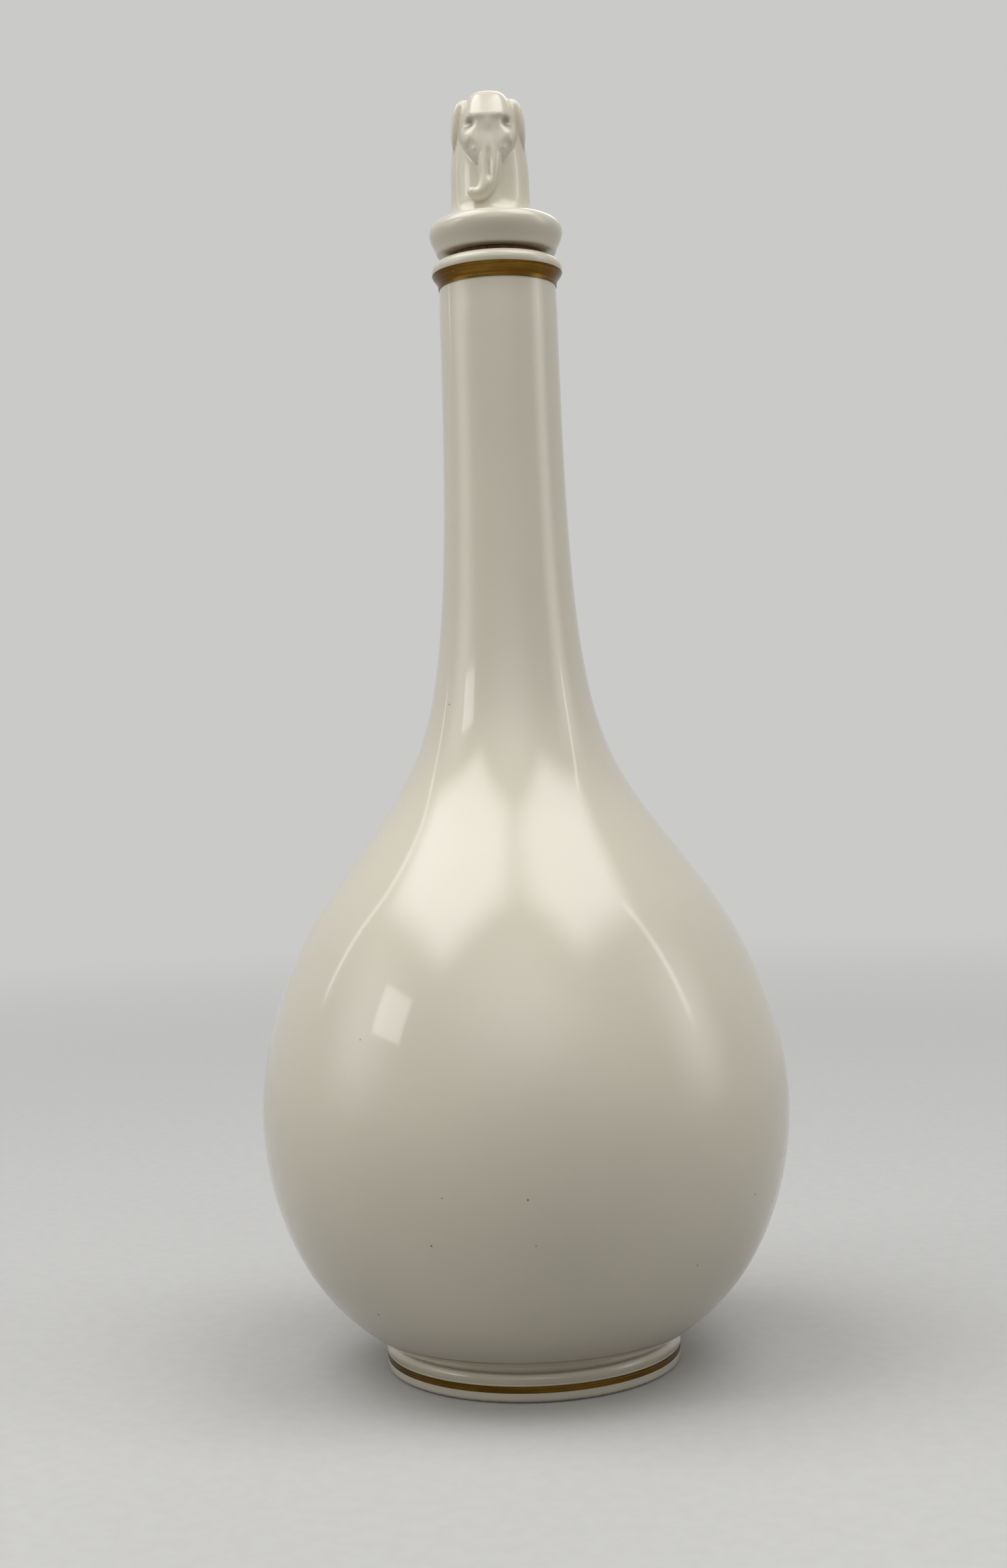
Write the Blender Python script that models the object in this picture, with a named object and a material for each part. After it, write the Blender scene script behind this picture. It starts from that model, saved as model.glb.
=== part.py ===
"""A liquor bottle of white glazed porcelain: a round body on a foot ring, a long neck with
a rolled lip, a gilded collar and a gilded line round the foot. A porcelain stopper with an
elephant's head closes it, held in the mouth by a tapered cork sleeve.

Metres, +Z up. The origin is the centre of the foot's resting plane, and the elephant looks
towards -Y. Outlines are (radius, height) pairs. Heights on the stopper and its cork are
measured from the top of the lip, where their shared empty stands on the axis.
"""

import math

import bmesh
import bpy
from mathutils import Matrix, Vector
from mathutils.geometry import interpolate_bezier

# The bottle's outside, from the foot up
FOOT_RADIUS = 0.0330
FOOT_HEIGHT = 0.0056
FOOT_EDGE = 0.0012
FOOT_COVE = 0.0015
FOOT_STEP = 0.0020
STEP_RISE = 0.0003
BELLY_RADIUS = 0.0590
BELLY_HEIGHT = 0.0575
SHOULDER_RADIUS = 0.0420
SHOULDER_HEIGHT = 0.1063
NECK_RADIUS = 0.01327
LIP_TOP = 0.2469
LIP_RADIUS = 0.01465
COLLAR_HEIGHT = 0.0060
BEAD_HEIGHT = 0.0029

# Slopes, as height gained for each unit of radius, and the reach of the Bezier handles at
# the two ends of each arc, as shares of the height that the arc climbs
FOOT_SLOPE_SHARE = 0.50
SHOULDER_SLOPE_SHARE = 1.39
LOWER_HANDLE_SHARES = (0.49, 0.29)
UPPER_HANDLE_SHARES = (0.26, 0.43)
NECK_HANDLE_SHARES = (0.30, 0.80)
COVE_HANDLE_SHARES = (0.55, 0.40)

# The bottle's inside and its underside
BELLY_WALL = 0.0045
NECK_WALL = 0.00335
MOUTH_FLARE = 0.0006
BASE_THICKNESS = 0.0050
RECESS_DEPTH = 0.0040
RING_WIDTH = 0.0044
RING_EDGE = 0.0006

# The gilding: thin bands let in flush with the porcelain
GILDING_THICKNESS = 0.0004
FOOT_BAND_BOTTOM = 0.0023
FOOT_BAND_TOP = 0.0036
CLEARANCE = 0.0003

# The cork sleeve and the stopper's peg inside it
CORK_DEPTH = 0.0240
CORK_EDGE = 0.0007
PEG_LENGTH = 0.0200
PEG_RADIUS = 0.0050
PEG_TAPER = 0.0005
PEG_EDGE = 0.0006
PEG_FILLET = 0.0006
PEG_GROOVE_WIDTH = 0.0014
PEG_GROOVE_DEPTH = 0.0004
PEG_GROOVE_SHARES = (0.62, 0.36)
VENT_RADIUS = 0.0016
VENT_DEPTH = 0.0245

# The stopper's disc
STOPPER_GAP = 0.0016
DISC_HEIGHT = 0.0075
DISC_FOOT_RADIUS = 0.0135
DISC_RADIUS = 0.0150
DISC_WIDEST_HEIGHT = 0.0048
DISC_TOP_RADIUS = 0.0120
DISC_EDGE = 0.0004
DISC_HANDLE_SHARES = (0.35, 0.35)
ROUND_HANDLE_SHARES = (0.50, 0.60)

# The elephant's head: its height over the disc, the round bust that carries it, and how
# far it stands to one side of the disc's centre, where the hand set it
HEAD_HEIGHT = 0.0285
BUST_RADIUS = 0.0089
BUST_SINK = 0.0009
HEAD_SHIFT = 0.0009
TRUNK_RADIUS = 0.0033
TUSK_RADIUS = 0.0009
EAR_THICKNESS = 0.0016
EAR_DISH = 0.0005
CHEEK_WIDTH = 0.0046
CHEEK_HEIGHT = 0.0054
CHEEK_DEPTH = 0.0038
EYE_WIDTH = 0.0042
EYE_HEIGHT = 0.0031
EYE_DEPTH = 0.0038

# Sections of the head. Heights are shares of HEAD_HEIGHT, and all else is in shares of
# BUST_RADIUS, with +1 towards the front.
# Bust: height, half width, front, back
BUST_SHARES = (
    (0.000, 1.330, 1.240, -1.300),
    (0.030, 1.190, 1.100, -1.180),
    (0.070, 1.085, 0.985, -1.075),
    (0.125, 1.020, 0.905, -1.005),
    (0.200, 1.000, 0.870, -0.985),
    (0.320, 1.000, 0.855, -0.985),
    (0.440, 0.985, 0.820, -0.980),
    (0.550, 0.950, 0.770, -0.960),
    (0.680, 0.900, 0.700, -0.900),
    (0.800, 0.850, 0.680, -0.760),
    (0.880, 0.790, 0.600, -0.620),
    (0.935, 0.650, 0.480, -0.430),
)
# Skull: height, half width, front, back, squareness, narrowing towards the front
SKULL_SHARES = (
    (0.395, 0.290, 1.000, 0.500, 2.0, 0.00),
    (0.430, 0.380, 1.030, 0.420, 2.0, 0.00),
    (0.460, 0.450, 1.045, 0.360, 2.1, 0.02),
    (0.490, 0.520, 1.040, 0.300, 2.2, 0.05),
    (0.530, 0.610, 1.025, 0.240, 2.3, 0.08),
    (0.570, 0.690, 1.005, 0.160, 2.4, 0.11),
    (0.610, 0.760, 0.985, 0.060, 2.5, 0.15),
    (0.660, 0.810, 0.965, -0.080, 2.7, 0.22),
    (0.704, 0.830, 0.962, -0.200, 2.8, 0.27),
    (0.735, 0.830, 0.970, -0.300, 3.0, 0.31),
    (0.757, 0.820, 0.995, -0.350, 3.2, 0.35),
    (0.775, 0.810, 0.985, -0.380, 3.2, 0.35),
    (0.830, 0.755, 0.880, -0.450, 3.2, 0.32),
    (0.881, 0.695, 0.790, -0.500, 3.2, 0.28),
    (0.932, 0.615, 0.690, -0.450, 3.0, 0.24),
    (0.966, 0.520, 0.590, -0.380, 2.8, 0.20),
    (0.990, 0.400, 0.450, -0.220, 2.5, 0.15),
    (1.000, 0.240, 0.300, -0.050, 2.3, 0.10),
)
# Ear: height, front edge and back edge in shares of a half turn from the front, reach
EAR_SHARES = (
    (0.535, 0.420, 0.500, 0.915),
    (0.560, 0.395, 0.560, 0.945),
    (0.620, 0.370, 0.650, 0.980),
    (0.700, 0.355, 0.735, 0.990),
    (0.790, 0.348, 0.765, 0.970),
    (0.860, 0.348, 0.735, 0.920),
    (0.905, 0.355, 0.670, 0.850),
    (0.935, 0.375, 0.590, 0.750),
    (0.955, 0.410, 0.540, 0.640),
)
# Trunk: sideways, front, height, thickness as a share of TRUNK_RADIUS
TRUNK_SHARES = (
    (0.000, 0.550, 0.640, 1.12),
    (0.000, 0.660, 0.550, 1.02),
    (0.015, 0.770, 0.470, 0.90),
    (0.015, 0.860, 0.400, 0.79),
    (0.000, 0.910, 0.335, 0.72),
    (-0.025, 0.935, 0.272, 0.64),
    (-0.100, 0.950, 0.216, 0.58),
    (-0.215, 0.955, 0.176, 0.53),
    (-0.345, 0.955, 0.166, 0.47),
    (-0.440, 0.950, 0.182, 0.41),
    (-0.480, 0.945, 0.204, 0.37),
    (-0.484, 0.945, 0.226, 0.27),
)
# Tusk: sideways, front, height, thickness as a share of TUSK_RADIUS
TUSK_SHARES = (
    (0.330, 0.780, 0.570, 0.95),
    (0.335, 0.890, 0.525, 0.85),
    (0.335, 0.940, 0.490, 0.60),
)
CHEEK_PLACE_SHARES = (0.395, 0.720, 0.598)
EYE_PLACE_SHARES = (0.490, 0.890, 0.700)

# How finely the surfaces are divided
BOTTLE_FACETS = 48
STOPPER_FACETS = 36
ARC_STEPS = 8
ROUND_STEPS = 4
SECTION_POINTS = 20
EAR_STEPS = 7
TUBE_SIDES = 12
HEAD_VOXEL = 0.00032
HEAD_SMOOTHING = 8
HEAD_FACETS_SHARE = 0.066
MERGE_DISTANCE = 0.000001
SHARP_ANGLE = math.radians(32)


def clear_scene():
    for thing in list(bpy.data.objects):
        bpy.data.objects.remove(thing)


def material(name, colour, roughness, metallic=0.0):
    made = bpy.data.materials.new(name)
    made.use_nodes = True
    made.diffuse_color = (*colour, 1)
    shader = made.node_tree.nodes["Principled BSDF"]
    shader.inputs["Base Color"].default_value = (*colour, 1)
    shader.inputs["Roughness"].default_value = roughness
    shader.inputs["Metallic"].default_value = metallic
    return made


def add_object(name, mesh, finish=None, parent=None):
    thing = bpy.data.objects.new(name, mesh)
    bpy.context.scene.collection.objects.link(thing)
    thing.parent = parent
    if finish:
        mesh.materials.append(finish)
    return thing


def as_helper(thing):
    """Marks a form that only shapes another object."""
    thing.hide_render = True
    thing.display_type = "WIRE"
    return thing


def shade_round(mesh):
    mesh.shade_smooth()
    mesh.set_sharp_from_angle(angle=SHARP_ANGLE)


def arc(centre_radius, centre_height, radius, start, end, steps=ROUND_STEPS):
    """Points of a round edge, from one angle to another in degrees."""
    points = []
    for step in range(steps + 1):
        angle = math.radians(start + (end - start) * step / steps)
        points.append(
            (centre_radius + radius * math.cos(angle), centre_height + radius * math.sin(angle))
        )
    return points


def bezier(start, start_handle, end_handle, end, steps):
    """Points of a Bezier arc, its ends included. Handles are steps away from the ends."""
    first = Vector((*start, 0))
    last = Vector((*end, 0))
    points = interpolate_bezier(
        first, first + Vector((*start_handle, 0)), last + Vector((*end_handle, 0)), last, steps + 1
    )
    return [(point.x, point.y) for point in points]


def sloped(slope_share, reach, sign=1):
    """A handle of the given reach along a slope, leading outwards or inwards as it climbs."""
    length = math.hypot(1, slope_share)
    return (sign * reach / length, reach * slope_share / length)


def reversed_handle(handle):
    return (-handle[0], -handle[1])


def turned(name, outline, facets):
    """A mesh turned about Z from an outline of (radius, height) pairs. An outline whose ends
    lie on the axis is left open there, and any other is closed on itself."""
    work = bmesh.new()
    points = [work.verts.new((radius, 0, height)) for radius, height in outline]
    pairs = list(zip(points, points[1:]))
    if outline[0][0] > 0:
        pairs.append((points[-1], points[0]))
    edges = [work.edges.new(pair) for pair in pairs]
    bmesh.ops.spin(
        work,
        geom=points + edges,
        cent=(0, 0, 0),
        axis=(0, 0, 1),
        angle=math.tau,
        steps=facets,
        use_merge=True,
    )
    bmesh.ops.remove_doubles(work, verts=work.verts, dist=MERGE_DISTANCE)
    bmesh.ops.recalc_face_normals(work, faces=work.faces)
    mesh = bpy.data.meshes.new(name)
    work.to_mesh(mesh)
    work.free()
    shade_round(mesh)
    return mesh


def body_outline():
    """The outside of the body and neck: foot to belly, belly to shoulder, shoulder to neck."""
    foot = (FOOT_RADIUS - FOOT_STEP, FOOT_HEIGHT + STEP_RISE)
    belly = (BELLY_RADIUS, BELLY_HEIGHT)
    shoulder = (SHOULDER_RADIUS, SHOULDER_HEIGHT)
    neck = (NECK_RADIUS, LIP_TOP - COLLAR_HEIGHT)
    climb = belly[1] - foot[1]
    lower = bezier(
        foot,
        sloped(FOOT_SLOPE_SHARE, LOWER_HANDLE_SHARES[0] * climb),
        (0, -LOWER_HANDLE_SHARES[1] * climb),
        belly,
        ARC_STEPS,
    )
    climb = shoulder[1] - belly[1]
    upper = bezier(
        belly,
        (0, UPPER_HANDLE_SHARES[0] * climb),
        reversed_handle(sloped(SHOULDER_SLOPE_SHARE, UPPER_HANDLE_SHARES[1] * climb, -1)),
        shoulder,
        ARC_STEPS,
    )
    climb = neck[1] - shoulder[1]
    stem = bezier(
        shoulder,
        sloped(SHOULDER_SLOPE_SHARE, NECK_HANDLE_SHARES[0] * climb, -1),
        (0, -NECK_HANDLE_SHARES[1] * climb),
        neck,
        ARC_STEPS + ROUND_STEPS,
    )
    return lower + upper[1:] + stem[1:]


def wall_at(height):
    """The wall's thickness, which thins evenly from the shoulder up to the cork's seat."""
    seat = LIP_TOP - CORK_DEPTH
    share = (height - SHOULDER_HEIGHT) / (seat - SHOULDER_HEIGHT)
    share = min(max(share, 0), 1)
    return BELLY_WALL + (NECK_WALL - BELLY_WALL) * share


def cavity_outline():
    """The inside from below the cork down to the floor, a wall's thickness in from the
    outside, measured square to it."""
    outside = body_outline()
    inside = []
    for before, here, after in zip(outside, outside[1:], outside[2:]):
        along = Vector(after) - Vector(before)
        inward = Vector((-along.y, along.x)).normalized()
        inside.append(Vector(here) + inward * wall_at(here[1]))
    seat = LIP_TOP - CORK_DEPTH - NECK_WALL
    inside = [tuple(point) for point in reversed(inside[::2]) if point.y < seat]
    floor = RECESS_DEPTH + BASE_THICKNESS
    return inside + [(inside[-1][0] - BELLY_WALL, floor), (0, floor)]


def bore_radius():
    """The neck's bore where the cork's foot sits."""
    return NECK_RADIUS - NECK_WALL


def mouth_radius():
    """The bore where the rolled lip begins."""
    return bore_radius() + MOUTH_FLARE


def bead_radius():
    """The rolled lip is half a round, from the mouth to the lip's outside."""
    return (LIP_RADIUS - mouth_radius()) / 2


def collar_outline():
    """The cove under the lip, from the neck out to the lip's white bead."""
    low = (NECK_RADIUS, LIP_TOP - COLLAR_HEIGHT)
    high = (LIP_RADIUS, LIP_TOP - BEAD_HEIGHT)
    climb = high[1] - low[1]
    reach = high[0] - low[0]
    return bezier(
        low,
        (0, COVE_HANDLE_SHARES[0] * climb),
        (-COVE_HANDLE_SHARES[1] * reach, -COVE_HANDLE_SHARES[1] * climb),
        high,
        ROUND_STEPS,
    )


def moved(outline, inward, up=0):
    return [(radius - inward, height + up) for radius, height in outline]


def bottle_mesh():
    ring_inside = FOOT_RADIUS - RING_WIDTH
    recess = [
        (0, RECESS_DEPTH),
        (ring_inside - RECESS_DEPTH / 2, RECESS_DEPTH),
        (ring_inside - RECESS_DEPTH / 6, RECESS_DEPTH * 3 / 4),
        (ring_inside, RING_EDGE),
        (ring_inside + RING_EDGE, 0),
    ]
    groove_depth = GILDING_THICKNESS + CLEARANCE
    groove_bottom = FOOT_BAND_BOTTOM - CLEARANCE
    groove_top = FOOT_BAND_TOP + CLEARANCE
    ring = arc(FOOT_RADIUS - FOOT_EDGE, FOOT_EDGE, FOOT_EDGE, -90, 0)
    ring += [
        (FOOT_RADIUS, groove_bottom),
        (FOOT_RADIUS - groove_depth, groove_bottom),
        (FOOT_RADIUS - groove_depth, groove_top),
        (FOOT_RADIUS, groove_top),
    ]
    ring += arc(FOOT_RADIUS, FOOT_HEIGHT, FOOT_COVE, 270, 180)
    body = body_outline()
    body[-1] = (NECK_RADIUS, LIP_TOP - COLLAR_HEIGHT - CLEARANCE)
    cove = moved(collar_outline(), groove_depth)
    cove[0] = (cove[0][0], cove[0][1] - CLEARANCE)
    cove[-1] = (cove[-1][0], cove[-1][1] + CLEARANCE)
    bead = bead_radius()
    lip = [(LIP_RADIUS, cove[-1][1])]
    lip += arc(LIP_RADIUS - bead, LIP_TOP - bead, bead, 0, 180, 2 * ROUND_STEPS)
    seat = [(bore_radius(), LIP_TOP - CORK_DEPTH - CLEARANCE)]
    outline = recess + ring + body + cove + lip + seat + cavity_outline()
    return turned("bottle", outline, BOTTLE_FACETS)


def neck_band_mesh():
    face = collar_outline()
    back = moved(face, GILDING_THICKNESS)
    return turned("neck_gold_band", face + back[::-1], BOTTLE_FACETS)


def foot_band_mesh():
    outside = FOOT_RADIUS
    inside = FOOT_RADIUS - GILDING_THICKNESS
    outline = [
        (inside, FOOT_BAND_BOTTOM),
        (outside, FOOT_BAND_BOTTOM),
        (outside, FOOT_BAND_TOP),
        (inside, FOOT_BAND_TOP),
    ]
    return turned("foot_gold_band", outline, BOTTLE_FACETS)


def peg_radius_at(height):
    """The peg tapers downwards from the disc."""
    share = (STOPPER_GAP - height) / PEG_LENGTH
    return PEG_RADIUS - PEG_TAPER * share


def cork_radius_at(height):
    """The sleeve follows the taper of the bore, and carries it on above the lip."""
    share = (height + CORK_DEPTH) / (CORK_DEPTH - bead_radius())
    return bore_radius() + MOUTH_FLARE * share - CLEARANCE


def cork_mesh():
    low = -CORK_DEPTH
    high = STOPPER_GAP - CLEARANCE
    inner_low = peg_radius_at(low) + CLEARANCE
    inner_high = peg_radius_at(high) + CLEARANCE
    mouth = PEG_FILLET + CLEARANCE
    outline = [
        (inner_low + CORK_EDGE, low),
        (cork_radius_at(low) - CORK_EDGE, low),
        (cork_radius_at(low), low + CORK_EDGE),
        (cork_radius_at(-bead_radius()), -bead_radius()),
        (cork_radius_at(high), high - CORK_EDGE / 2),
        (cork_radius_at(high) - CORK_EDGE / 2, high),
        (inner_high + mouth, high),
        (inner_high, high - mouth),
        (inner_low, low + CORK_EDGE),
    ]
    return turned("cork_sleeve", outline, BOTTLE_FACETS)


def peg_outline():
    """The vent bored up the peg, the peg's foot, and its side with two keying grooves."""
    foot = STOPPER_GAP - PEG_LENGTH
    vent_top = foot + VENT_DEPTH
    outline = [
        (0, vent_top),
        (VENT_RADIUS, vent_top - VENT_RADIUS),
        (VENT_RADIUS, foot),
        (peg_radius_at(foot) - PEG_EDGE, foot),
        (peg_radius_at(foot), foot + PEG_EDGE),
    ]
    for share in PEG_GROOVE_SHARES:
        middle = STOPPER_GAP - share * PEG_LENGTH
        half = PEG_GROOVE_WIDTH / 2
        for height, depth in ((-half, 0), (-half / 2, PEG_GROOVE_DEPTH),
                              (half / 2, PEG_GROOVE_DEPTH), (half, 0)):
            outline.append((peg_radius_at(middle) - depth, middle + height))
    root = peg_radius_at(STOPPER_GAP - PEG_FILLET) + PEG_FILLET
    return outline + arc(root, STOPPER_GAP - PEG_FILLET, PEG_FILLET, 180, 90, ROUND_STEPS // 2)


def disc_outline():
    """The disc: a flat underside, a side that swells to its widest, and a rounded top."""
    widest = (DISC_RADIUS, STOPPER_GAP + DISC_WIDEST_HEIGHT)
    edge = (DISC_FOOT_RADIUS, STOPPER_GAP + DISC_EDGE)
    top = (DISC_TOP_RADIUS, STOPPER_GAP + DISC_HEIGHT)
    climb = widest[1] - edge[1]
    swell = widest[0] - edge[0]
    side = bezier(
        edge,
        (DISC_HANDLE_SHARES[0] * swell, DISC_HANDLE_SHARES[0] * climb),
        (0, -DISC_HANDLE_SHARES[1] * climb),
        widest,
        ROUND_STEPS,
    )
    rounding = bezier(
        widest,
        (0, ROUND_HANDLE_SHARES[0] * (top[1] - widest[1])),
        (ROUND_HANDLE_SHARES[1] * (widest[0] - top[0]), 0),
        top,
        ROUND_STEPS,
    )
    return [(DISC_FOOT_RADIUS - DISC_EDGE, STOPPER_GAP)] + side + rounding[1:] + [(0, top[1])]


def head_point(sideways, front, height):
    """A place on the head, from shares of its radius and of its height."""
    base = STOPPER_GAP + DISC_HEIGHT - BUST_SINK
    lift = HEAD_HEIGHT + BUST_SINK
    return Vector((sideways * BUST_RADIUS - HEAD_SHIFT, -front * BUST_RADIUS, base + height * lift))


def section(height, half_width, front, back, squareness=2.0, narrowing=0.0):
    """One level ring of the head: rounder or squarer, and narrower towards its front."""
    middle = (front + back) / 2
    depth = (front - back) / 2
    ring = []
    for step in range(SECTION_POINTS):
        angle = math.tau * step / SECTION_POINTS
        across, along = (
            abs(turn) ** (2 / squareness) * math.copysign(1, turn)
            for turn in (math.cos(angle), math.sin(angle))
        )
        width = half_width * (1 - narrowing * (1 + along) / 2)
        ring.append(head_point(width * across, middle + depth * along, height))
    return ring


def ear_section(side, height, front_turn, back_turn, reach):
    """One level ring of an ear: out along its face, and back along the skull."""
    outside = []
    inside = []
    for step in range(EAR_STEPS):
        angle = math.pi * (front_turn + (back_turn - front_turn) * step / (EAR_STEPS - 1))
        across = side * math.sin(angle)
        along = math.cos(angle)
        depth = reach - EAR_THICKNESS / BUST_RADIUS
        dished = reach - EAR_DISH / BUST_RADIUS * math.sin(math.pi * step / (EAR_STEPS - 1)) ** 2
        outside.append(head_point(across * dished, along * dished, height))
        inside.append(head_point(across * depth, along * depth, height))
    return outside + inside[::-1]


def loft(work, rings):
    """Skins a stack of rings that have as many points each, and caps both ends."""
    made = [[work.verts.new(point) for point in ring] for ring in rings]
    for low, high in zip(made, made[1:]):
        for here in range(len(low)):
            following = (here + 1) % len(low)
            work.faces.new((low[here], low[following], high[following], high[here]))
    work.faces.new(made[0][::-1])
    work.faces.new(made[-1])


def tube_rings(shares, radius, side=1):
    """Rings across a smooth tapered tube through the given places."""
    places = [head_point(side * across, front, height) for across, front, height, _ in shares]
    widths = [radius * share for *_, share in shares]
    rings = []
    for here, (place, width) in enumerate(zip(places, widths)):
        along = places[min(here + 1, len(places) - 1)] - places[max(here - 1, 0)]
        turn = along.to_track_quat("Z", "Y").to_matrix().to_4x4()
        stand = Matrix.Translation(place) @ turn
        rings.append([
            stand @ Vector((width * math.cos(angle), width * math.sin(angle), 0))
            for angle in (math.tau * step / TUBE_SIDES for step in range(TUBE_SIDES))
        ])
    return rings


def add_lump(work, place, width, depth, height):
    """An egg-shaped form at the given place."""
    made = bmesh.ops.create_icosphere(work, subdivisions=2, radius=1)["verts"]
    size = Matrix.Diagonal((width / 2, depth / 2, height / 2, 1))
    bmesh.ops.transform(work, matrix=Matrix.Translation(place) @ size, verts=made)


def head_forms():
    """Bust, skull, ears, cheeks, trunk and tusks, each a closed form that runs into the
    others."""
    work = bmesh.new()
    loft(work, [section(*shares) for shares in BUST_SHARES])
    loft(work, [section(*shares) for shares in SKULL_SHARES])
    loft(work, tube_rings(TRUNK_SHARES, TRUNK_RADIUS))
    for side in (-1, 1):
        loft(work, [ear_section(side, *shares) for shares in EAR_SHARES])
        loft(work, tube_rings(TUSK_SHARES, TUSK_RADIUS, side))
        across, front, height = CHEEK_PLACE_SHARES
        place = head_point(side * across, front, height)
        add_lump(work, place, CHEEK_WIDTH, CHEEK_DEPTH, CHEEK_HEIGHT)
    bmesh.ops.recalc_face_normals(work, faces=work.faces)
    mesh = bpy.data.meshes.new("elephant_head")
    work.to_mesh(mesh)
    work.free()
    return mesh


def eye_hollow(side, parent):
    """The lens-shaped hollow of one eye, under the brow."""
    work = bmesh.new()
    across, front, height = EYE_PLACE_SHARES
    add_lump(work, head_point(side * across, front, height), EYE_WIDTH, EYE_DEPTH, EYE_HEIGHT)
    mesh = bpy.data.meshes.new("eye_hollow")
    work.to_mesh(mesh)
    work.free()
    mesh.shade_smooth()
    return as_helper(add_object("eye_hollow", mesh, parent=parent))


def elephant_head(parent):
    """The head's forms grown into one smooth skin, with the eyes cut in."""
    head = as_helper(add_object("elephant_head", head_forms(), parent=parent))
    rounded = head.modifiers.new("rounded", "SUBSURF")
    rounded.levels = 1
    rounded.render_levels = 1
    grown = head.modifiers.new("grown_together", "REMESH")
    grown.mode = "VOXEL"
    grown.voxel_size = HEAD_VOXEL
    grown.use_smooth_shade = True
    for side in (-1, 1):
        cut = head.modifiers.new("eye", "BOOLEAN")
        cut.operation = "DIFFERENCE"
        cut.object = eye_hollow(side, parent)
    softened = head.modifiers.new("softened", "SMOOTH")
    softened.iterations = HEAD_SMOOTHING
    fewer = head.modifiers.new("fewer_facets", "DECIMATE")
    fewer.ratio = HEAD_FACETS_SHARE
    return head


def stopper_object(parent, finish):
    mesh = turned("stopper", peg_outline() + disc_outline(), STOPPER_FACETS)
    stopper = add_object("stopper", mesh, finish, parent)
    joined = stopper.modifiers.new("elephant_head", "BOOLEAN")
    joined.operation = "UNION"
    joined.object = elephant_head(parent)
    return stopper


def main():
    clear_scene()
    bottle_glaze = material("bottle_porcelain", (0.80, 0.78, 0.73), 0.10)
    stopper_glaze = material("stopper_porcelain", (0.81, 0.79, 0.74), 0.10)
    neck_gold = material("neck_gold", (0.53, 0.36, 0.11), 0.22, 1.0)
    foot_gold = material("foot_gold", (0.55, 0.38, 0.13), 0.28, 1.0)
    cork = material("cork", (0.42, 0.24, 0.15), 0.80)

    bottle = add_object("bottle", bottle_mesh(), bottle_glaze)
    add_object("neck_gold_band", neck_band_mesh(), neck_gold, bottle)
    add_object("foot_gold_band", foot_band_mesh(), foot_gold, bottle)

    stopper_axis = bpy.data.objects.new("stopper_axis", None)
    bpy.context.scene.collection.objects.link(stopper_axis)
    stopper_axis.location = (0, 0, LIP_TOP)
    add_object("cork_sleeve", cork_mesh(), cork, stopper_axis)
    stopper_object(stopper_axis, stopper_glaze)


main()
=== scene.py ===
"""The looks of a liquor bottle of white glazed porcelain, gilded at lip and foot, with an
elephant's head on its stopper. Metres, +Z up, the elephant looks towards -Y."""

import math

import bmesh
import bpy
import numpy as np
from mathutils import Matrix, Vector, noise
from mathutils.geometry import interpolate_bezier


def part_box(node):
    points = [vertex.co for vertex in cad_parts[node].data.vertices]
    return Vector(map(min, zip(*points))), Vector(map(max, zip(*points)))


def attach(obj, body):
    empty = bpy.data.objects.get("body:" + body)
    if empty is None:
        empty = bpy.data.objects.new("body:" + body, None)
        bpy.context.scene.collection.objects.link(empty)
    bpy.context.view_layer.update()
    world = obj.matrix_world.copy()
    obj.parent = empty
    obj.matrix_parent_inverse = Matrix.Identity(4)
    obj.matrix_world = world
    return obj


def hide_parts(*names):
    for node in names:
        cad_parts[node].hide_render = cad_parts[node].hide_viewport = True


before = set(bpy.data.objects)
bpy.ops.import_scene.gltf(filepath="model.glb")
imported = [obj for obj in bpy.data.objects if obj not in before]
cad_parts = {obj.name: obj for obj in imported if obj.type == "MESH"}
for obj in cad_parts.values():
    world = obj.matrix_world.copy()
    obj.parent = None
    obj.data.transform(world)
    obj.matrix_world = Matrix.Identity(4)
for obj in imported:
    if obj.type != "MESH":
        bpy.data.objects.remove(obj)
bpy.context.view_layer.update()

# Sizes read from the frame
LIP_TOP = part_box("bottle")[1].z
BELLY_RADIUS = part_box("bottle")[1].x
FOOT_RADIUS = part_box("foot_gold_band")[1].x
FOOT_BAND_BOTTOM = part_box("foot_gold_band")[0].z
FOOT_BAND_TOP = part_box("foot_gold_band")[1].z
COLLAR_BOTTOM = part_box("neck_gold_band")[0].z
COLLAR_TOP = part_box("neck_gold_band")[1].z
LIP_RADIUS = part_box("neck_gold_band")[1].x
CORK_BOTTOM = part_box("cork_sleeve")[0].z
PEG_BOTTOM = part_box("stopper")[0].z
DISC_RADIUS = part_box("stopper")[1].x
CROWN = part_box("stopper")[1].z

# The bottle's other sizes, as the solids have them
FOOT_HEIGHT = 0.0056
FOOT_EDGE = 0.0012
FOOT_COVE = 0.0015
FOOT_STEP = 0.0020
STEP_RISE = 0.0003
BELLY_HEIGHT = 0.0575
SHOULDER_RADIUS = 0.0420
SHOULDER_HEIGHT = 0.1063
NECK_RADIUS = 0.01327
BELLY_WALL = 0.0045
NECK_WALL = 0.00335
MOUTH_FLARE = 0.0006
BASE_THICKNESS = 0.0050
RECESS_DEPTH = 0.0040
RING_WIDTH = 0.0044
RING_EDGE = 0.0006
GILDING = 0.0002
# the recess under the foot: how far in from the ring and how high, in shares of its depth
RECESS_SHARES = ((0.5, 1.0), (1 / 6, 0.75))
# slopes, and handles of the arcs in shares of their climb or reach
FOOT_SLOPE_SHARE = 0.50
SHOULDER_SLOPE_SHARE = 1.39
LOWER_HANDLE_SHARES = (0.49, 0.29)
UPPER_HANDLE_SHARES = (0.26, 0.43)
NECK_HANDLE_SHARES = (0.30, 0.80)
COVE_HANDLE_SHARES = (0.55, 0.40)

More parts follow.
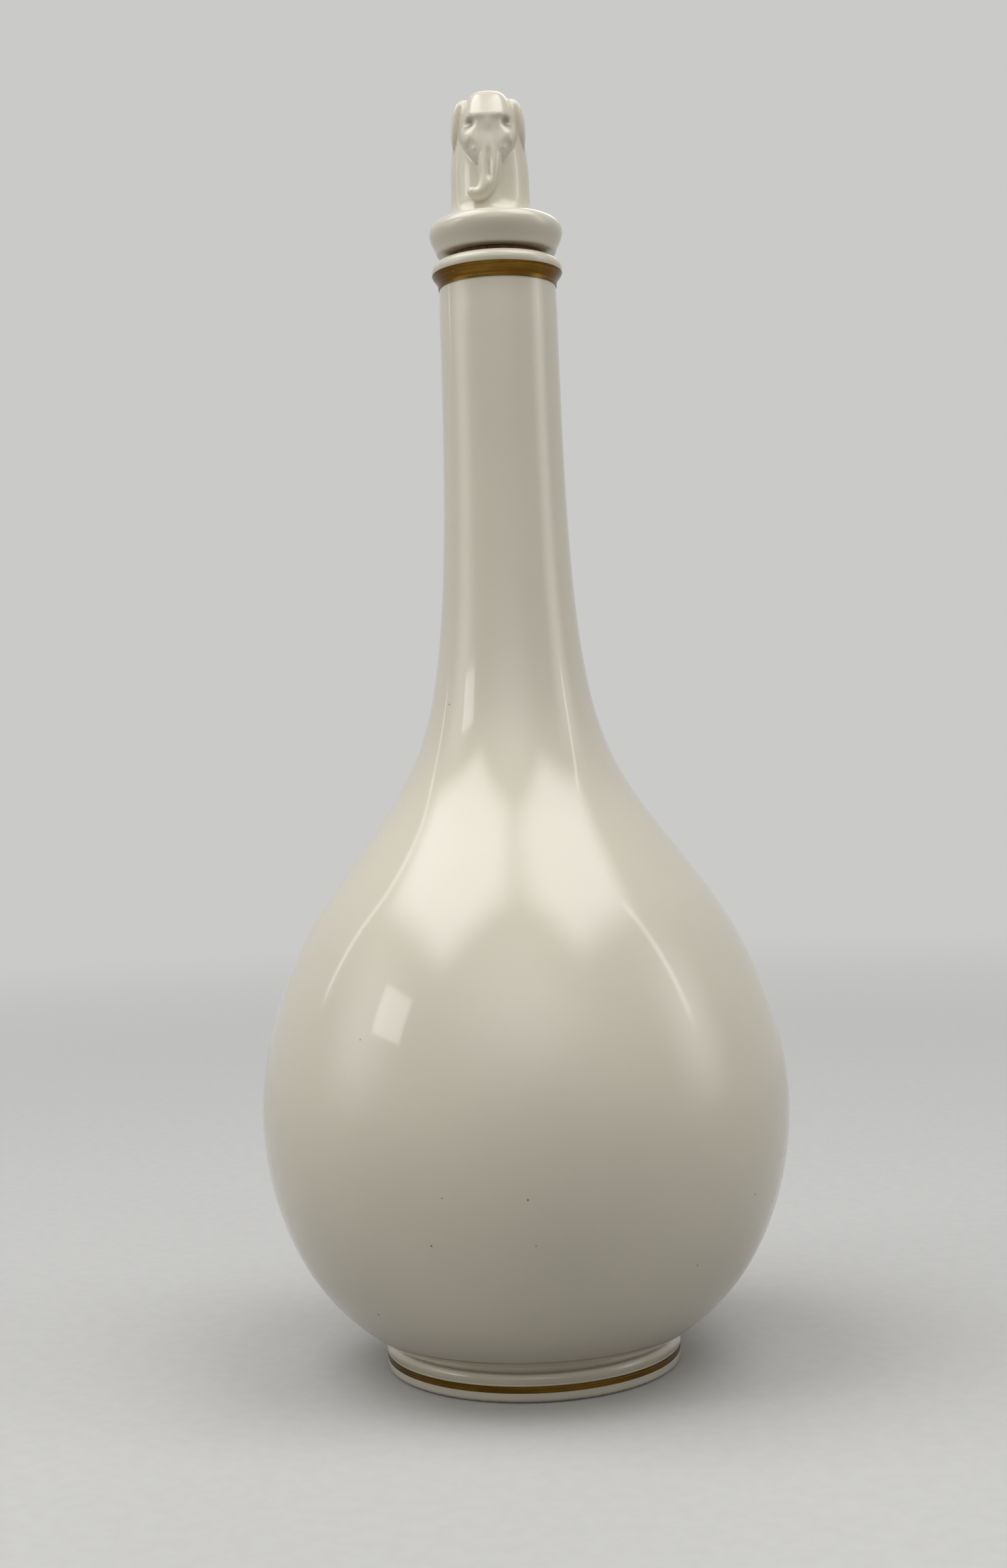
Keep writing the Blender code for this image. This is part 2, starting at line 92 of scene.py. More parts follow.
# The stopper's other sizes
DISC_RISE = 0.0016
DISC_BOTTOM = LIP_TOP + DISC_RISE
DISC_HEIGHT = 0.0075
DISC_FOOT_RADIUS = 0.0135
DISC_WIDEST_HEIGHT = 0.0048
DISC_TOP_RADIUS = 0.0120
DISC_EDGE = 0.0005
DISC_EDGE_END_ANGLE = -20
DISC_LOWER_HANDLE_SHARE = 0.35
DISC_UPPER_HANDLE_SHARES = (0.50, 0.60)
PEG_RADIUS = 0.0050
PEG_TAPER = 0.0005
PEG_EDGE = 0.0006
VENT_RADIUS = 0.0016
VENT_DEPTH = 0.0245
CLEARANCE = 0.0003
CORK_EDGE = 0.0004
CORK_CHAMFER = 0.0009
CORK_GAP = 0.00005
CORK_PIT = 0.0005
# the cork's pits and crumbs: how fine the noise is, the level it shows from, and its gain
LENTICELS = (700, 0.25, 1.4)
LENTICEL_SQUASH = 0.3
CRUMBS = (1500, 0.2, 0.3)
BUST_RADIUS = 0.0089
BUST_SINK = 0.0009
HEAD_SHIFT = 0.0009
TRUNK_RADIUS = 0.0033
TUSK_RADIUS = 0.0009
EAR_THICKNESS = 0.0016
EAR_DISH = 0.0005
CHEEK_SIZES = (0.0046, 0.0038, 0.0054)

# Sections of the head, in shares as in the solids: heights of its height, and all else of
# the bust's radius, with +1 towards the front
# Bust: height, half width, front, back
BUST_SHARES = (
    (0.000, 1.330, 1.240, -1.300),
    (0.030, 1.190, 1.100, -1.180),
    (0.070, 1.085, 0.985, -1.075),
    (0.125, 1.020, 0.905, -1.005),
    (0.200, 1.000, 0.870, -0.985),
    (0.320, 1.000, 0.855, -0.985),
    (0.440, 0.985, 0.820, -0.980),
    (0.550, 0.950, 0.770, -0.960),
    (0.680, 0.900, 0.700, -0.900),
    (0.800, 0.850, 0.680, -0.760),
    (0.880, 0.790, 0.600, -0.620),
    (0.935, 0.650, 0.480, -0.430),
)
# Skull: height, half width, front, back, squareness, narrowing towards the front
SKULL_SHARES = (
    (0.395, 0.290, 1.000, 0.500, 2.0, 0.00),
    (0.430, 0.380, 1.030, 0.420, 2.0, 0.00),
    (0.460, 0.450, 1.045, 0.360, 2.1, 0.02),
    (0.490, 0.520, 1.040, 0.300, 2.2, 0.05),
    (0.530, 0.610, 1.025, 0.240, 2.3, 0.08),
    (0.570, 0.690, 1.005, 0.160, 2.4, 0.11),
    (0.610, 0.760, 0.985, 0.060, 2.5, 0.15),
    (0.660, 0.810, 0.965, -0.080, 2.7, 0.22),
    (0.704, 0.830, 0.962, -0.200, 2.8, 0.27),
    (0.735, 0.830, 0.970, -0.300, 3.0, 0.31),
    (0.757, 0.820, 0.995, -0.350, 3.2, 0.35),
    (0.775, 0.810, 0.985, -0.380, 3.2, 0.35),
    (0.830, 0.755, 0.880, -0.450, 3.2, 0.32),
    (0.881, 0.695, 0.790, -0.500, 3.2, 0.28),
    (0.932, 0.615, 0.690, -0.450, 3.0, 0.24),
    (0.966, 0.520, 0.590, -0.380, 2.8, 0.20),
    (0.990, 0.400, 0.450, -0.220, 2.5, 0.15),
    (1.000, 0.240, 0.300, -0.050, 2.3, 0.10),
)
# Ear: height, front edge and back edge in shares of a half turn from the front, reach
EAR_SHARES = (
    (0.535, 0.420, 0.500, 0.915),
    (0.560, 0.395, 0.560, 0.945),
    (0.620, 0.370, 0.650, 0.980),
    (0.700, 0.355, 0.735, 0.990),
    (0.790, 0.348, 0.765, 0.970),
    (0.860, 0.348, 0.735, 0.920),
    (0.905, 0.355, 0.670, 0.850),
    (0.935, 0.375, 0.590, 0.750),
    (0.955, 0.410, 0.540, 0.640),
)
# Trunk: sideways, front, height, thickness as a share of TRUNK_RADIUS
TRUNK_SHARES = (
    (0.000, 0.550, 0.640, 1.12),
    (0.000, 0.660, 0.550, 1.02),
    (0.015, 0.770, 0.470, 0.90),
    (0.015, 0.860, 0.400, 0.79),
    (0.000, 0.910, 0.335, 0.72),
    (-0.025, 0.935, 0.272, 0.64),
    (-0.100, 0.950, 0.216, 0.58),
    (-0.215, 0.955, 0.176, 0.53),
    (-0.345, 0.955, 0.166, 0.47),
    (-0.440, 0.950, 0.182, 0.41),
    (-0.480, 0.945, 0.204, 0.37),
    (-0.484, 0.945, 0.226, 0.27),
)
# Tusk: sideways, front, height, thickness as a share of TUSK_RADIUS
TUSK_SHARES = (
    (0.330, 0.780, 0.570, 0.95),
    (0.335, 0.890, 0.525, 0.85),
    (0.335, 0.940, 0.490, 0.60),
)
CHEEK_PLACE_SHARES = (0.395, 0.720, 0.598)

# Strokes that press the head's surface in or draw it out, the same on both sides:
# sideways, front, height, and then reach across, reach up and depth as shares of STROKE.
# The reach to the front is twice the reach across
STROKE_SHARES = (
    (0.490, 0.800, 0.718, 1.45, 1.10, -1.30),
    (0.000, 0.950, 0.700, 1.00, 1.60, 0.15),
    (0.370, 0.800, 0.590, 1.50, 1.50, 0.30),
    (0.260, 0.900, 0.610, 0.60, 2.00, -0.20),
    (0.010, 1.030, 0.450, 0.80, 1.80, -0.40),
    (0.000, 1.100, 0.370, 0.75, 1.60, -0.50),
    (0.000, 1.120, 0.300, 0.60, 1.30, -0.40),
)
STROKE = 0.001
# Painted shade in the eyes: its centre sideways, front and height, and how far it reaches
EYE_SHADE_SHARES = (0.470, 0.740, 0.705)
EYE_SHADE_REACH = 0.0023

# Colours, as linear red, green and blue
WHITE = (0.75, 0.70, 0.565)
CLOUDED_WHITE = (0.715, 0.67, 0.545)
# greyer tint in hollows: partly glaze pooling, partly painted shade
POOLED_GLAZE_AND_SHADE = (0.52, 0.475, 0.37)
# painted shade that darkens the eye hollows
EYE_SHADE = (0.28, 0.25, 0.18)
SPECK = (0.16, 0.12, 0.08)
FAINT_SPECK = (0.50, 0.46, 0.39)
BISQUE = (0.60, 0.56, 0.49)
STAINED_BISQUE = (0.36, 0.32, 0.27)
GOLD = (0.22, 0.12, 0.018)
THIN_GOLD = (0.13, 0.065, 0.010)
RUBBED_GOLD = (0.30, 0.20, 0.09)
CORK = (0.21, 0.095, 0.055)
LIGHT_CORK = (0.33, 0.17, 0.10)
DARK_CORK = (0.055, 0.022, 0.014)
PAPER = (0.62, 0.615, 0.60)
PAPER_GRAIN = (0.60, 0.595, 0.58)
DIM_PAPER = (0.28, 0.27, 0.255)
BACKGROUND = (0.59, 0.59, 0.58)
SKY = (0.96, 0.98, 1.0)

# Patterns: how fine the noise is, its layers, and the levels between which it comes in
CLOUDS = (22, 3, 0.35, 0.70)
GLAZE_GLOSS = (60, 3, 0.3, 0.7)
RIM_WAVER = (300, 2, 0.0, 1.0)
BISQUE_GRAIN = (900, 4, 0.35, 0.75)
GOLD_RUBS = (1300, 2, 0.70, 0.76)
CORK_MOTTLE = (420, 4, 0.35, 0.68)
PAPER_FIBRES = (260, 4, 0.3, 0.7)
# Dots: how many to a metre, where they are full and where they end in shares of the way
# between them, and their strength
SPECKS = (95, 0.010, 0.030, 1.0)
DUST = (420, 0.020, 0.050, 0.35)
CORK_GRAINS = (900, 0.05, 0.30, 0.6)
# Patches and streaks: how fine they are, for streaks along X, Y and Z, and their layers
GOLD_PATCHES = (90, 3)
BRUSH_STREAKS = ((60, 60, 3600), 3)
CORK_STREAKS = ((900, 900, 260), 2)
# Levels between which full gilding, its dull streaks and the cork's flecks come in
FULL_GOLD_LEVELS = (0.18, 0.42)
BRUSHED_LEVELS = (0.2, 0.8)
FLECK_LEVELS = (0.60, 0.70)

# Surfaces. The glaze is greyed where the pointiness falls below what it is on flat ground: partly
# the tint of glaze pooling there, partly painted shade in the hollows
FLAT = 0.5
HOLLOW = 0.08
GLAZE_ROUGHNESS = (0.07, 0.12)
MEAN_GLAZE_ROUGHNESS = 0.09
BISQUE_ROUGHNESS = 0.7
GLAZE = {
    "Subsurface Weight": 0.12,
    "Subsurface Radius": (1.0, 0.8, 0.55),
    "Subsurface Scale": 0.0015,
    "Coat Weight": 0.35,
    "Coat Roughness": 0.04,
}
NECK_GOLD_ROUGHNESS = 0.24
FOOT_GOLD_ROUGHNESS = 0.28
BRUSHED_SMOOTHER = 0.06
BRUSHED_ROUGHER = 0.10
RUBBED_METALLIC = 0.6
CORK_ROUGHNESS = (0.75, 0.92)
MEAN_CORK_ROUGHNESS = 0.85
PAPER_ROUGHNESS = 0.9
PAPER_SPECULAR = 0.1

# The finest relief: how fine the noise is, its layers and its depth, or the depth alone
RIPPLE = (34, 1, 0.00010)
ORANGE_PEEL = (650, 2, 0.000003)
GOLD_PEEL = (700, 2, 0.000003)
CORK_GRAIN = (1500, 3, 0.00008)
SPECK_DEPTH = 0.00003
BRUSH_RIDGE = 0.00001
FLECK_DEPTH = 0.00016
# The bare standing rim: its height, the share of it that is all bare, and how far it wavers
BARE_RIM = 0.0007
BARE_SHARE = 0.7
BARE_RIM_WAVER = 0.0001

# How finely the surfaces are divided
ROUND_FACETS = 192
ARC_STEPS = 28
EDGE_STEPS = 10
SECTION_POINTS = 40
EAR_STEPS = 12
TUBE_SIDES = 24
SMALL_EDGE_STEPS = 4
CORK_RINGS = 90
CORK_EDGE_STEPS = 5
CHEEK_SUBDIVISIONS = 3
HEAD_SUBDIVISIONS = 2
HEAD_VOXEL = 0.00017
HEAD_SMOOTHING = 20
SHARP_TURNED = math.radians(40)
SHARP_GROWN = math.radians(50)
MERGE_DISTANCE = 0.000001

# The studio. Lamps: name, place, watts, width, height, and how wide the fading edge is as a
# share of each side
LAMPS = (
    ("left_overhead_softbox", (-0.51, -0.14, 1.15), 12.8, 1.28, 1.05, 0.27),
    ("right_overhead_softbox", (0.41, -0.22, 1.15), 10.6, 1.08, 1.05, 0.31),
    ("left_softbox", (-1.5, -0.3, 0.6), 9, 1.4, 1.6, 0.5),
    ("right_softbox", (1.5, -0.2, 0.6), 9, 1.2, 1.6, 0.5),
    ("left_window", (-1.26, -0.56, 0.76), 1.1, 0.44, 0.34, 0.08),
    ("left_strip", (-1.35, 0.50, 0.95), 0.4, 0.07, 1.0, 0.15),
    ("right_strip", (1.45, -0.15, 1.05), 0.7, 0.09, 1.1, 0.15),
    ("back_softbox", (0.3, 1.1, 1.1), 6, 1.2, 0.9, 0.5),
    ("front_reflector", (0, -1.9, 1.4), 28, 3.6, 2.6, 0.5),
)
MIDDLE_OF_SIDE = 0.5
LAMPS_AIM = Vector((0, 0, 0.15))
SKY_STRENGTH = 0.20
FLOOR_RADIUS = 12
FLOOR_SIDES = 64
PLAIN_FLOOR_RADIUS = 0.18
FADED_FLOOR_RADIUS = 1.1
CAMERA_PLACE = Vector((0, -0.4525, 0.13486))
CAMERA_YAW = math.radians(-0.320)
CAMERA_PITCH = math.radians(-0.641)
CAMERA_ROLL = math.radians(-1.990)
CAMERA_LENS = 46.12
CAMERA_NEAR = 0.01


def linked(data, name="stopper_form"):
    """A new object of the scene that holds a mesh, a lamp or a camera."""
    thing = bpy.data.objects.new(name, data)
    bpy.context.scene.collection.objects.link(thing)
    return thing


def mesh_of(work, name):
    """The mesh of a bmesh, which is freed."""
    mesh = bpy.data.meshes.new(name)
    work.to_mesh(mesh)
    work.free()
    return mesh


def arc(centre_radius, centre_height, radius, start, end, steps=EDGE_STEPS):
    """Points of a round edge, from one angle to another in degrees."""
    points = []
    for step in range(steps + 1):
        angle = math.radians(start + (end - start) * step / steps)
        points.append(
            (centre_radius + radius * math.cos(angle), centre_height + radius * math.sin(angle))
        )
    return points


def bezier(start, start_handle, end_handle, end, steps):
    """Points of a Bezier arc, its ends included. Handles are steps away from the ends."""
    first = Vector((*start, 0))
    last = Vector((*end, 0))
    points = interpolate_bezier(
        first, first + Vector((*start_handle, 0)), last + Vector((*end_handle, 0)), last, steps + 1
    )
    return [(point.x, point.y) for point in points]


def sloped(slope_share, reach, sign=1):
    """A handle of the given reach along a slope, leading outwards or inwards as it climbs."""
    length = math.hypot(1, slope_share)
    return (sign * reach / length, reach * slope_share / length)


def turned(name, outline):
    """An object turned about Z from an outline of (radius, height) pairs. An outline whose
    ends lie on the axis is left open there, and any other is closed on itself."""
    work = bmesh.new()
    points = [work.verts.new((radius, 0, height)) for radius, height in outline]
    pairs = list(zip(points, points[1:]))
    if outline[0][0] > 0:
        pairs.append((points[-1], points[0]))
    edges = [work.edges.new(pair) for pair in pairs]
    bmesh.ops.spin(
        work,
        geom=points + edges,
        cent=(0, 0, 0),
        axis=(0, 0, 1),
        angle=math.tau,
        steps=ROUND_FACETS,
        use_merge=True,
    )
    bmesh.ops.remove_doubles(work, verts=work.verts, dist=MERGE_DISTANCE)
    bmesh.ops.recalc_face_normals(work, faces=work.faces)
    mesh = mesh_of(work, name)
    mesh.shade_smooth()
    mesh.set_sharp_from_angle(angle=SHARP_TURNED)
    return linked(mesh, name)


def body_outline():
    """The outside of the body and neck: foot to belly, belly to shoulder, shoulder to neck."""
    foot = (FOOT_RADIUS - FOOT_STEP, FOOT_HEIGHT + STEP_RISE)
    belly = (BELLY_RADIUS, BELLY_HEIGHT)
    shoulder = (SHOULDER_RADIUS, SHOULDER_HEIGHT)
    neck = (NECK_RADIUS, COLLAR_BOTTOM)
    climb = belly[1] - foot[1]
    lower = bezier(
        foot,
        sloped(FOOT_SLOPE_SHARE, LOWER_HANDLE_SHARES[0] * climb),
        (0, -LOWER_HANDLE_SHARES[1] * climb),
        belly,
        ARC_STEPS,
    )
    climb = shoulder[1] - belly[1]
    falling = sloped(SHOULDER_SLOPE_SHARE, UPPER_HANDLE_SHARES[1] * climb, -1)
    upper = bezier(
        belly,
        (0, UPPER_HANDLE_SHARES[0] * climb),
        (-falling[0], -falling[1]),
        shoulder,
        ARC_STEPS,
    )
    climb = neck[1] - shoulder[1]
    stem = bezier(
        shoulder,
        sloped(SHOULDER_SLOPE_SHARE, NECK_HANDLE_SHARES[0] * climb, -1),
        (0, -NECK_HANDLE_SHARES[1] * climb),
        neck,
        2 * ARC_STEPS,
    )
    return lower + upper[1:] + stem[1:]


def wall_at(height):
    """The wall's thickness, which thins evenly from the shoulder up to the cork's seat."""
    share = (height - SHOULDER_HEIGHT) / (CORK_BOTTOM - SHOULDER_HEIGHT)
    share = min(max(share, 0), 1)
    return BELLY_WALL + (NECK_WALL - BELLY_WALL) * share


def cavity_outline():
    """The inside from below the cork down to the floor."""
    outside = body_outline()
    inside = []
    for before, here, after in zip(outside, outside[1:], outside[2:]):
        along = Vector(after) - Vector(before)
        inward = Vector((-along.y, along.x)).normalized()
        inside.append(Vector(here) + inward * wall_at(here[1]))
    seat = CORK_BOTTOM - NECK_WALL
    floor = RECESS_DEPTH + BASE_THICKNESS
    inside = [tuple(point) for point in reversed(inside) if floor < point.y < seat]
    return inside + [(inside[-1][0] - BELLY_WALL, floor), (0, floor)]


def bore_radius():
    return NECK_RADIUS - NECK_WALL


def bead_radius():
    """The rolled lip is half a round, from the mouth to the lip's outside."""
    return (LIP_RADIUS - bore_radius() - MOUTH_FLARE) / 2


def collar_outline():
    """The cove under the lip, from the neck out to the lip's white bead."""
    low = (NECK_RADIUS, COLLAR_BOTTOM)
    high = (LIP_RADIUS, COLLAR_TOP)
    climb = high[1] - low[1]
    reach = high[0] - low[0]
    return bezier(
        low,
        (0, COVE_HANDLE_SHARES[0] * climb),
        (-COVE_HANDLE_SHARES[1] * reach, -COVE_HANDLE_SHARES[1] * climb),
        high,
        EDGE_STEPS,
    )


def bottle_piece():
    """The whole section of the bottle: underside, foot ring, body, collar, lip and inside."""
    ring_inside = FOOT_RADIUS - RING_WIDTH
    recess = [(0, RECESS_DEPTH)]
    for inward, climb in RECESS_SHARES:
        recess.append((ring_inside - RECESS_DEPTH * inward, RECESS_DEPTH * climb))
    recess.append((ring_inside, RING_EDGE))
    recess += arc(ring_inside + RING_EDGE, RING_EDGE, RING_EDGE, 180, 270, SMALL_EDGE_STEPS)[1:]
    ring = arc(FOOT_RADIUS - FOOT_EDGE, FOOT_EDGE, FOOT_EDGE, -90, 0)
    under = FOOT_RADIUS - GILDING
    ring += [(FOOT_RADIUS, FOOT_BAND_BOTTOM - GILDING), (under, FOOT_BAND_BOTTOM)]
    ring += [(under, FOOT_BAND_TOP), (FOOT_RADIUS, FOOT_BAND_TOP + GILDING)]
    ring += arc(FOOT_RADIUS, FOOT_HEIGHT, FOOT_COVE, 270, 180)
    body = body_outline()[:-1]
    cove = [(radius - GILDING, height) for radius, height in collar_outline()]
    bead = bead_radius()
    lip = arc(LIP_RADIUS - bead, LIP_TOP - bead, bead, 0, 180, 3 * EDGE_STEPS)
    seat = [(bore_radius(), CORK_BOTTOM - CLEARANCE)]
    outside = recess + ring + body + cove + lip
    return turned("bottle_body_porcelain", outside + seat + cavity_outline())


def neck_band_piece():
    face = collar_outline()
    back = [(radius - GILDING, height) for radius, height in face]
    return turned("neck_gilding", face + back[::-1])


def foot_band_piece():
    outline = [
        (FOOT_RADIUS - GILDING, FOOT_BAND_BOTTOM),
        (FOOT_RADIUS, FOOT_BAND_BOTTOM),
        (FOOT_RADIUS, FOOT_BAND_TOP),
        (FOOT_RADIUS - GILDING, FOOT_BAND_TOP),
    ]
    return turned("foot_gilding", outline)


def peg_radius_at(height):
    share = (DISC_BOTTOM - height) / (DISC_BOTTOM - PEG_BOTTOM)
    return PEG_RADIUS - PEG_TAPER * share


def cork_radius_at(height):
    """The sleeve follows the taper of the bore, and carries it on above the lip."""
    share = (height - CORK_BOTTOM) / (LIP_TOP - bead_radius() - CORK_BOTTOM)
    return bore_radius() + MOUTH_FLARE * share - CLEARANCE


def cork_piece():
    """The cork sleeve, its surface pitted with lenticels and crumbled."""
    cork_top = DISC_BOTTOM - CORK_GAP
    low = CORK_BOTTOM + CORK_EDGE
    high = cork_top - CORK_EDGE
    outline = [(peg_radius_at(CORK_BOTTOM) + CLEARANCE, low)]
    foot = cork_radius_at(CORK_BOTTOM) - CORK_EDGE
    outline += arc(foot, low, CORK_EDGE, -90, 0, CORK_EDGE_STEPS)
    for step in range(1, CORK_RINGS):
        height = low + (high - low) * step / CORK_RINGS
        outline.append((cork_radius_at(height), height))
    outline += arc(cork_radius_at(high) - CORK_EDGE, high, CORK_EDGE, 0, 90, CORK_EDGE_STEPS)
    inner_top = peg_radius_at(cork_top) + CLEARANCE
    outline += [(inner_top + CORK_CHAMFER, cork_top), (inner_top, cork_top - CORK_CHAMFER)]
    piece = turned("cork_sleeve_cork", outline)
    for vertex in piece.data.vertices:
        place = vertex.co.copy()
        across = math.hypot(place.x, place.y)
        if across < PEG_RADIUS + CORK_CHAMFER:
            continue
        squashed = Vector((place.x, place.y, place.z * LENTICEL_SQUASH))
        hole = 0
        for where, (fineness, level, gain) in ((squashed, LENTICELS), (place, CRUMBS)):
            hole += max(noise.noise(where * fineness) - level, 0) * gain
        inward = CORK_PIT * min(hole, 1)
        vertex.co.x -= place.x / across * inward
        vertex.co.y -= place.y / across * inward
    piece.data.update()
    return piece


def disc_piece():
    """The disc: a flat underside, a side that swells to its widest, and a rounded top."""
    outline = [(0, DISC_BOTTOM)]
    edge = (DISC_FOOT_RADIUS, DISC_BOTTOM + DISC_EDGE)
    widest = (DISC_RADIUS, DISC_BOTTOM + DISC_WIDEST_HEIGHT)
    top = (DISC_TOP_RADIUS, DISC_BOTTOM + DISC_HEIGHT)
    climb = widest[1] - edge[1]
    swell = widest[0] - edge[0]
    outline += arc(
        edge[0] - DISC_EDGE, edge[1], DISC_EDGE, -90, DISC_EDGE_END_ANGLE, SMALL_EDGE_STEPS
    )
    handle = (DISC_LOWER_HANDLE_SHARE * swell, DISC_LOWER_HANDLE_SHARE * climb)
    outline += bezier(edge, handle, (0, -handle[1]), widest, EDGE_STEPS)
    up, inward = DISC_UPPER_HANDLE_SHARES
    first = (0, up * (top[1] - widest[1]))
    last = (inward * (widest[0] - top[0]), 0)
    outline += bezier(widest, first, last, top, EDGE_STEPS)[1:]
    return turned("disc", outline + [(0, top[1])])


def peg_piece():
    """The peg under the disc, with the vent bored up it."""
    vent_top = PEG_BOTTOM + VENT_DEPTH
    outline = [
        (0, vent_top),
        (VENT_RADIUS, vent_top - VENT_RADIUS),
        (VENT_RADIUS, PEG_BOTTOM),
        (PEG_RADIUS - PEG_TAPER - PEG_EDGE, PEG_BOTTOM),
        (PEG_RADIUS - PEG_TAPER, PEG_BOTTOM + PEG_EDGE),
        (PEG_RADIUS, DISC_BOTTOM),
        (PEG_RADIUS, DISC_BOTTOM + DISC_EDGE),
        (0, DISC_BOTTOM + DISC_EDGE),
    ]
    return turned("peg", outline)


def head_point(sideways, front, height):
    """A place on the head, from shares of its radius and of its height."""
    base = DISC_BOTTOM + DISC_HEIGHT - BUST_SINK
    return Vector((
        sideways * BUST_RADIUS - HEAD_SHIFT,
        -front * BUST_RADIUS,
        base + height * (CROWN - base),
    ))


def section(height, half_width, front, back, squareness=2.0, narrowing=0.0):
    """One level ring of the head: rounder or squarer, and narrower towards its front."""
    middle = (front + back) / 2
    depth = (front - back) / 2
    ring = []
    for step in range(SECTION_POINTS):
        angle = math.tau * step / SECTION_POINTS
        across, along = (
            abs(turn) ** (2 / squareness) * math.copysign(1, turn)
            for turn in (math.cos(angle), math.sin(angle))
        )
        width = half_width * (1 - narrowing * (1 + along) / 2)
        ring.append(head_point(width * across, middle + depth * along, height))
    return ring


def ear_section(side, height, front_turn, back_turn, reach):
    """One level ring of an ear: out along its face, and back along the skull."""
    outside = []
    inside = []
    for step in range(EAR_STEPS):
        angle = math.pi * (front_turn + (back_turn - front_turn) * step / (EAR_STEPS - 1))
        across = side * math.sin(angle)
        along = math.cos(angle)
        depth = reach - EAR_THICKNESS / BUST_RADIUS
        dished = reach - EAR_DISH / BUST_RADIUS * math.sin(math.pi * step / (EAR_STEPS - 1)) ** 2
        outside.append(head_point(across * dished, along * dished, height))
        inside.append(head_point(across * depth, along * depth, height))
    return outside + inside[::-1]


def loft(work, rings):
    """Skins a stack of rings that have as many points each, and caps both ends."""
    made = [[work.verts.new(point) for point in ring] for ring in rings]
    for low, high in zip(made, made[1:]):
        for here in range(len(low)):
            following = (here + 1) % len(low)
            work.faces.new((low[here], low[following], high[following], high[here]))
    work.faces.new(made[0][::-1])
    work.faces.new(made[-1])


def tube_rings(shares, radius, side=1):
    """Rings across a smooth tapered tube through the given places."""
    places = [head_point(side * across, front, height) for across, front, height, _ in shares]
    widths = [radius * share for *_, share in shares]
    rings = []
    for here, (place, width) in enumerate(zip(places, widths)):
        along = places[min(here + 1, len(places) - 1)] - places[max(here - 1, 0)]
        turn = along.to_track_quat("Z", "Y").to_matrix().to_4x4()
        stand = Matrix.Translation(place) @ turn
        rings.append([
            stand @ Vector((width * math.cos(angle), width * math.sin(angle), 0))
            for angle in (math.tau * step / TUBE_SIDES for step in range(TUBE_SIDES))
        ])
    return rings


def add_lump(work, place, sizes):
    """An egg-shaped form at the given place."""
    made = bmesh.ops.create_icosphere(work, subdivisions=CHEEK_SUBDIVISIONS, radius=1)
    stand = Matrix.Translation(place) @ Matrix.Diagonal((*(length / 2 for length in sizes), 1))
    bmesh.ops.transform(work, matrix=stand, verts=made["verts"])


def head_forms():
    """Bust, skull, ears, cheeks, trunk and tusks, each a closed form that runs into the
    others."""
    work = bmesh.new()
    loft(work, [section(*shares) for shares in BUST_SHARES])
    loft(work, [section(*shares) for shares in SKULL_SHARES])
    loft(work, tube_rings(TRUNK_SHARES, TRUNK_RADIUS))
    for side in (-1, 1):
        loft(work, [ear_section(side, *shares) for shares in EAR_SHARES])
        loft(work, tube_rings(TUSK_SHARES, TUSK_RADIUS, side))
        across, front, height = CHEEK_PLACE_SHARES
        add_lump(work, head_point(side * across, front, height), CHEEK_SIZES)
    bmesh.ops.recalc_face_normals(work, faces=work.faces)
    return linked(mesh_of(work, "head_forms"), "head_forms")


def with_modifiers(thing):
    """The object's mesh as its modifiers leave it. The object itself is removed."""
    bpy.context.view_layer.update()
    graph = bpy.context.evaluated_depsgraph_get()
    mesh = bpy.data.meshes.new_from_object(thing.evaluated_get(graph))
    bpy.data.objects.remove(thing)
    return mesh


def work_strokes(mesh):
    """Moves the surface level with the ground, away from the head's axis or towards it."""
    places = np.empty(len(mesh.vertices) * 3)
    mesh.vertices.foreach_get("co", places)
    places = places.reshape(-1, 3)
    outward = places - np.array(head_point(0, 0, 0))
    outward[:, 2] = 0
    outward /= np.maximum(np.linalg.norm(outward, axis=1), MERGE_DISTANCE)[:, None]
    moves = np.zeros(len(places))
    for side in (-1, 1):
        for across, front, height, wide, tall, depth in STROKE_SHARES:
            centre = np.array(head_point(side * across, front, height))
            away = (places - centre) / (STROKE * np.array((wide, 2 * wide, tall)))
            moves += STROKE * depth * np.exp(-(away ** 2).sum(1))
    places += outward * moves[:, None]
    mesh.vertices.foreach_set("co", places.ravel())
    mesh.update()


def stopper_piece():
    """Head and disc grown together as one glazed skin, and the peg below them."""
    head = head_forms()
    rounded = head.modifiers.new("rounded", "SUBSURF")
    rounded.levels = HEAD_SUBDIVISIONS
    rounded.render_levels = HEAD_SUBDIVISIONS
    mesh = with_modifiers(head)
    disc = disc_piece()
    work = bmesh.new()
    work.from_mesh(mesh)
    work.from_mesh(disc.data)
    work.to_mesh(mesh)
    work.free()
    bpy.data.objects.remove(disc)
    grown = linked(mesh).modifiers.new("grown_together", "REMESH")
    grown.voxel_size = HEAD_VOXEL
    mesh = with_modifiers(grown.id_data)
    work_strokes(mesh)
    softened = linked(mesh).modifiers.new("softened", "SMOOTH")
    softened.iterations = HEAD_SMOOTHING
    mesh = with_modifiers(softened.id_data)

    body = linked(mesh)
    peg = peg_piece()
    joined = peg.modifiers.new("body", "BOOLEAN")
    joined.operation = "UNION"
    joined.object = body
    mesh = with_modifiers(peg)
    bpy.data.objects.remove(body)
    work = bmesh.new()
    work.from_mesh(mesh)
    bmesh.ops.dissolve_degenerate(work, edges=work.edges, dist=MERGE_DISTANCE)
    bmesh.ops.dissolve_verts(work, verts=[v for v in work.verts if len(v.link_edges) == 2])
    bmesh.ops.triangulate(work, faces=[face for face in work.faces if len(face.verts) > 4])
    work.to_mesh(mesh)
    work.free()
    mesh.shade_smooth()
    mesh.set_sharp_from_angle(angle=SHARP_GROWN)
    return linked(mesh, "stopper_porcelain")


